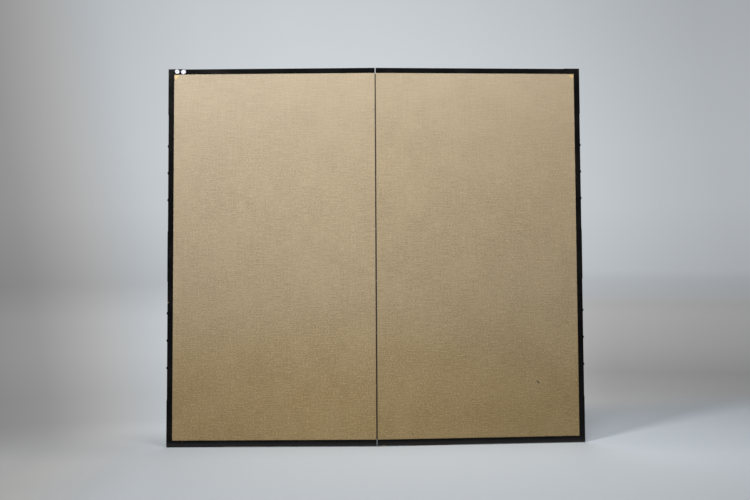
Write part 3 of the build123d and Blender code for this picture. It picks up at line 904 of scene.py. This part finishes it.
def grid_object(name, points, material, uv=None, kept=None, ring=False, facing=None):
    """An object from a grid of points, one quad for each kept cell, wound to face a direction."""
    rows, columns = points.shape[:2]
    index = np.arange(rows * columns).reshape(rows, columns)
    if ring:
        index = np.column_stack([index, index[:, 0]])
    quads = np.stack([index[:-1, :-1], index[:-1, 1:], index[1:, 1:], index[1:, :-1]], axis=-1)
    quads = quads.reshape(-1, 4) if kept is None else quads[kept]
    flat_points = points.reshape(-1, 3)
    if facing is not None:
        first = flat_points[quads[:, 2]] - flat_points[quads[:, 0]]
        second = flat_points[quads[:, 3]] - flat_points[quads[:, 1]]
        if np.cross(first, second).mean(axis=0) @ facing < 0:
            quads = quads[:, ::-1]
    used, quads_used = np.unique(quads, return_inverse=True)
    mesh = bpy.data.meshes.new(name)
    mesh.from_pydata(flat_points[used], [], quads_used.reshape(-1, 4))
    if uv is not None:
        layer = mesh.uv_layers.new(name="UVMap")
        layer.data.foreach_set("uv", uv.reshape(-1, 2)[quads].ravel())
    mesh.materials.append(material)
    mesh.shade_smooth()
    return add_object(name, mesh)


def thicken(made, thickness, offset):
    """Give a sheet its thickness: inwards of its face for -1, to both sides for 0."""
    solidify = made.modifiers.new("thickness", "SOLIDIFY")
    solidify.thickness, solidify.offset = thickness, offset
    return solidify


def close_poles(made, closed=True):
    """Merge the points that meet at a pole, and turn the faces of a closed shape outwards."""
    work = bmesh.new()
    work.from_mesh(made.data)
    bmesh.ops.remove_doubles(work, verts=work.verts, dist=SAME_PLACE)
    if closed:
        bmesh.ops.recalc_face_normals(work, faces=work.faces)
    work.to_mesh(made.data)
    work.free()


# %% [markdown]
# ## The face cloths
#
# Each cloth is pasted over the front of its panel and butts against the strips.  At the fold it
# rolls over the edge and is turned in, except in the bands where a paper hinge comes out from
# under it: there it is cut off at the edge.
#
# The surface is a path swept up the panel: straight along the face, a quarter round, straight
# back.  A pasted cloth is never quite flat, so a few long waves of a tenth of a millimetre move
# it, and die away towards its edges.  Only the quarter round is shaded smoothly, so the cut edges
# stay crisp.

# %% Shape of a face cloth
CLOTH_THICKNESS = 0.8 * MM
ROLL_RADIUS = 1.3 * MM
WAVE_HEIGHT = 0.12 * MM
FACE_COLUMNS, ROLL_COLUMNS, FLAP_COLUMNS = 78, 6, 3
CLOTH_ROWS = 140
# Each wave: its length across and up in metres, and its phase.
WAVES = ((0.43, 0.31, 0.4), (-0.29, 0.52, 1.7), (0.21, -0.24, 2.9))
CALM_EDGE = 0.02              # square metres: the product of the distances to two edges


def cloth_path(run, face_run):
    """Reach and depth of the cloth's outside, a distance along it from its outer edge."""
    turn = np.clip((run - face_run) / ROLL_RADIUS, 0, pi / 2)
    back = np.maximum(run - face_run - ROLL_RADIUS * pi / 2, 0)
    reach = cloth_outer - np.minimum(run, face_run) - ROLL_RADIUS * np.sin(turn)
    depth = cloth_front - ROLL_RADIUS * (1 - np.cos(turn)) - back
    return reach, depth


def cloth_waves(reach, height):
    """Three crossing sine waves, faded to nothing towards the four edges."""
    waves = [np.sin(2 * pi * (reach / a + height / b) + phase) for a, b, phase in WAVES]
    across = np.clip((reach - cloth_edge) * (cloth_outer - reach) / CALM_EDGE, 0, 1)
    up = np.clip((height - cloth_bottom) * (cloth_top - height) / CALM_EDGE, 0, 1)
    return WAVE_HEIGHT * (sum(waves) / len(WAVES) - 1) * across * up


def make_face_cloth(name, side):
    """One face cloth on the outside of the panel's fold edge and front."""
    label = f"{name}_face_cloth"
    solid = corners_of(label)
    flap_end = solid[:, 1].min()
    bands = bands_of(solid[solid[:, 1] < flap_end + SAME_PLACE, 2])
    face_run = cloth_outer - cloth_edge - ROLL_RADIUS
    roll_end = face_run + ROLL_RADIUS * pi / 2
    flap_run = cloth_front - ROLL_RADIUS - flap_end
    run = np.concatenate([
        np.linspace(0, face_run, FACE_COLUMNS),
        np.linspace(face_run, roll_end, ROLL_COLUMNS)[1:],
        np.linspace(roll_end, roll_end + flap_run, FLAP_COLUMNS)[1:],
    ])
    height = np.concatenate([np.linspace(cloth_bottom, cloth_top, CLOTH_ROWS), bands.ravel()])
    run, height = np.meshgrid(run, np.unique(height))
    reach, depth = cloth_path(run, face_run)
    points = place(side, reach, depth + cloth_waves(reach, height), height)
    uv = np.stack([side * (cloth_outer - run), height], axis=-1)
    cell_run = (run[:-1, :-1] + run[:-1, 1:]) / 2
    cell_height = (height[:-1, :-1] + height[1:, :-1])[..., None] / 2
    turned = ((cell_height > bands[:, 0]) & (cell_height < bands[:, 1])).any(axis=-1)
    kept = turned | (cell_run < face_run + ROLL_RADIUS / 2)
    facing = way(side, 0, 1)
    made = grid_object(f"{name}_hemp_cloth", points, hemp_cloth, uv, kept, facing=facing)
    rolled = (cell_run > face_run) & (cell_run < roll_end)
    made.data.polygons.foreach_set("use_smooth", rolled[kept])
    thicken(made, CLOTH_THICKNESS, -1).use_even_offset = True
    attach(made, f"{name}_panel")
    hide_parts(label)
    cut = (float(roll_end + flap_run), float(cloth_top - cloth_bottom))
    missing = (cut[1] - float(np.diff(bands).sum())) * float(flap_run + ROLL_RADIUS)
    print(f"{made.name}: cut {cut[0]:.3f} x {cut[1]:.3f} m, turned in at {len(bands)} bands")


for panel_name, panel_side in PANELS.items():
    make_face_cloth(panel_name, panel_side)

# %% [markdown]
# ## The hinge strips
#
# Paper makes this screen fold both ways.  In each of its seven bands a strip goes from under the
# cloth of one panel, back through the fold, to under the back paper of the other one, and the
# next band's strip goes the other way.  Seen from above, a strip is a flat S: a Bezier curve
# whose ends lie along the two faces.
#
# Each strip bends at both ends, so it is made in two halves that meet in the middle of the fold.
# One half of the even strips rides the web that it stands for; the other halves keep the place
# where they are made.

# %% Hinge strips
STRIP_THICKNESS = 0.4 * MM
STRIP_HANDLE = 1.3 * MM       # how far the ends hold their direction
STRIP_UNDERLAP = 0.2 * MM     # of a strip's end into its pasted wing
CREASE_LENGTH = 1.6 * MM      # of the part that bends when the screen folds
STRIP_STEPS = 48


def strip_end(name, face):
    """Plan points where a strip leaves its pasted wing, and where its handle ends."""
    wing = corners_of(f"{name}_hinge_wings_{face}")
    reach = wing[:, 0].min() + STRIP_UNDERLAP - np.array([0, STRIP_HANDLE])
    return place(PANELS[name], reach, (wing[:, 1].min() + wing[:, 1].max()) / 2, 0)


def strip_curve(front_name, back_name):
    """Plan points of a strip from one panel's front to the other's back: a cubic Bezier curve."""
    first, leave = strip_end(front_name, "front")
    last, arrive = strip_end(back_name, "back")
    step = np.linspace(0, 1, 2 * STRIP_STEPS + 1)[:, None]
    rest = 1 - step
    return (rest ** 3 * first + 3 * rest ** 2 * step * leave
            + 3 * rest * step ** 2 * arrive + step ** 3 * last)


def strip_half(name, plan, bands):
    """Half of a set of strips: its plan curve drawn up through every band."""
    heights = bands.ravel()
    points = np.broadcast_to(plan, (len(heights), *plan.shape)).copy()
    points[..., 2] = heights[:, None]
    kept = np.zeros((len(heights) - 1, len(plan) - 1), bool)
    kept[::2] = True
    made = grid_object(name, points, papers["hinge_paper"], kept=kept)
    made.data.shade_flat()
    thicken(made, STRIP_THICKNESS, 0)
    return made


def past_crease(plan):
    """The point of a plan curve one crease length from its first point."""
    run = np.concatenate([[0], np.cumsum(np.linalg.norm(np.diff(plan, axis=0), axis=1))])
    return plan[np.searchsorted(run, CREASE_LENGTH)]


STRIP_SETS = {
    # set: front panel, back panel, still and moving body at the front, and at the back
    "odd": ("left", "right", ("odd_webs", "left_panel"), ("odd_webs", "right_panel")),
    "even": ("right", "left", None, ("left_panel", "even_webs")),
}
for set_name, (front_name, back_name, front_bodies, back_bodies) in STRIP_SETS.items():
    web = f"hinge_webs_{set_name}"
    bands = bands_of(vertices_of(web)[:, 2])
    plan = strip_curve(front_name, back_name)
    halves = (
        ("front", plan[:STRIP_STEPS + 1], front_bodies),
        ("back", plan[STRIP_STEPS:][::-1], back_bodies),
    )
    for half_name, half, half_bodies in halves:
        strips = strip_half(f"{set_name}_strips_{half_name}", half, bands)
        if half_bodies is None:
            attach(strips, f"{set_name}_webs")
        else:
            still, moving = half_bodies
            pasted, free = half[0], past_crease(half)
            start, end = (pasted, free) if still.endswith("panel") else (free, pasted)
            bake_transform(strips)
        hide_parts(web)
    print(f"{set_name} strips: {len(bands)} bands, {front_name} front to {back_name} back")

# %% [markdown]
# ## Studs and pins
#
# Six domed studs stand on each outer side, and small pins hold the plates.  Both are turned
# shapes: a profile carried round an axis.  The stud's shank is square, and a square's edge lies
# at its half width divided by the larger of the cosine and the sine.  One formula makes both.

# %% Studs and pins
STUD_PROFILE = (
    # distance along the axis and half width in millimetres, and 0 for round or 1 for square
    (5.30, 0.0, 0), (5.25, 1.0, 0), (5.08, 2.0, 0), (4.79, 3.0, 0), (4.35, 4.0, 0), (3.71, 5.0, 0),
    (2.73, 6.0, 0), (1.97, 6.5, 0), (0.90, 6.9, 0), (0.12, 7.0, 0), (0.0, 6.95, 0),
    (0.0, 4.0, 0), (0.0, 1.5, 1), (-9.0, 1.4, 1), (-12.0, 0.5, 1), (-12.0, 0.0, 1),
)
PIN_PROFILE = (
    (0.80, 0.0, 0), (0.76, 0.5, 0), (0.62, 1.0, 0), (0.38, 1.4, 0), (0.12, 1.65, 0), (0.0, 1.7, 0),
    (-0.2, 1.0, 0), (-0.2, 0.0, 0),
)
AROUND = 48
PIN_INSET = 9 * MM
STUD_GAP = 30 * MM            # more than a stud's height, less than the room between two
UP = np.array([0, 0, 1.0])


def turned(profile, base, axis):
    """A closed shape of revolution on a base point, round an upright or a level axis."""
    along, wide, square = np.array(profile).T * [[MM], [MM], [1]]
    angle = np.arange(AROUND) * 2 * pi / AROUND
    cornered = 1 / np.maximum(np.abs(np.cos(angle)), np.abs(np.sin(angle)))
    radius = wide[:, None] * (1 + square[:, None] * (cornered[None, :] - 1))
    first = np.array([1.0, 0, 0]) if axis is UP else np.cross(UP, axis)
    second = np.cross(axis, first)
    ring = np.cos(angle)[:, None] * first + np.sin(angle)[:, None] * second
    return base + along[:, None, None] * axis + radius[..., None] * ring[None]


def turned_set(name, profile, bases, axes, material):
    """Several turned shapes in one object."""
    shapes = [turned(profile, base, axis) for base, axis in zip(bases, axes)]
    parts = [grid_object("part", shape, material, ring=True) for shape in shapes]
    with bpy.context.temp_override(active_object=parts[0], selected_editable_objects=parts):
        bpy.ops.object.join()
    made = parts[0]
    made.name = made.data.name = name
    close_poles(made)
    return made


def stud_heights(label):
    """The middle heights of the studs, from the gaps between the solid's vertices."""
    heights = np.sort(corners_of(label)[:, 2])
    groups = np.split(heights, np.nonzero(np.diff(heights) > STUD_GAP)[0] + 1)
    return [(group[0] + group[-1]) / 2 for group in groups]


def pin_places(name):
    """Where the pins stand: reach and height of each, and whether it points up."""
    kinds = ("top_corner", "centre", "bottom_corner")
    top, centre, bottom = (corners_of(f"{name}_{kind}_fitting") for kind in kinds)
    outer = centre[:, 0].max()
    found = []
    for plate in (top, centre, bottom):
        low, high = plate[:, 2].min(), min(plate[:, 2].max(), screen_height)
        found += [(outer, low + PIN_INSET, False), (outer, high - PIN_INSET, False)]
    found.append((top[:, 0].min() + PIN_INSET, top[:, 2].max(), True))
    return found


for panel_name, panel_side in PANELS.items():
    outwards = way(panel_side, 1, 0)
    stud_places = [(panel_width, height, False) for height in stud_heights(f"{panel_name}_studs")]
    turned_pieces = (
        ("domed_studs", STUD_PROFILE, stud_places),
        ("plate_pins", PIN_PROFILE, pin_places(panel_name)),
    )
    for piece_name, profile, places in turned_pieces:
        bases = [place(panel_side, reach, middle_depth, height) for reach, height, _ in places]
        axes = [UP if on_top else outwards for _, _, on_top in places]
        label = f"{panel_name}_{piece_name}"
        piece = turned_set(label, profile, bases, axes, metals["black_metal"])
        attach(piece, f"{panel_name}_panel")
        if piece_name == "domed_studs":
            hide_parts(f"{panel_name}_studs")
        print(f"{label}: {len(places)}")

# %% [markdown]
# ## Two blank stickers
#
# Two small round paper stickers, almost as wide as the rail, lie side by side at the upper left.
# Each is a disc, with radius and angle as parameters.  Where it hangs over the cloth, which lies
# a little further back, it bends.

# %% Stickers
STICKER_THICKNESS = 0.15 * MM
STICKERS = {
    # name: reach, height, radius, paper
    "sticker_outer": (0.9008, 1.6897, 0.0098, "white_sticker_paper"),
    "sticker_inner": (0.8722, 1.6888, 0.0105, "lilac_sticker_paper"),
}
STICKER_RINGS, STICKER_SPOKES = 10, 64
BEND, BEND_LENGTH = 0.45 * MM, 2 * MM


def make_sticker(name, reach, height, size, paper):
    """A disc on the left panel's top rail, its lower part bent back over the rail's edge."""
    radius = np.linspace(0, size, STICKER_RINGS)[:, None]
    angle = (np.arange(STICKER_SPOKES) * 2 * pi / STICKER_SPOKES)[None, :]
    across, up = reach + radius * np.cos(angle), height + radius * np.sin(angle)
    over = np.clip((cloth_top - up) / BEND_LENGTH, 0, 1)
    depth = strip_front + STICKER_THICKNESS - BEND * over ** 2
    points = place(LEFT, across, depth, up)
    made = grid_object(name, points, papers[paper], ring=True, facing=way(LEFT, 0, 1))
    close_poles(made, closed=False)
    thicken(made, STICKER_THICKNESS, -1)
    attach(made, "left_panel")


for sticker_name, settings in STICKERS.items():
    make_sticker(sticker_name, *settings)
print("stickers:", ", ".join(STICKERS))

# %% [markdown] ## Both boxes The dressed screen's box is that of the fixed one but for
# the studs' domes and the pins, which stand out a little further.

# %% Sizes and finish
low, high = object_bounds()
sizes = {
    "cad_box": [list(cad_low), list(cad_high)],
    "visual_box": [list(low), list(high)],
}
print("visual box:", [round(value, 4) for value in (*low, *high)])
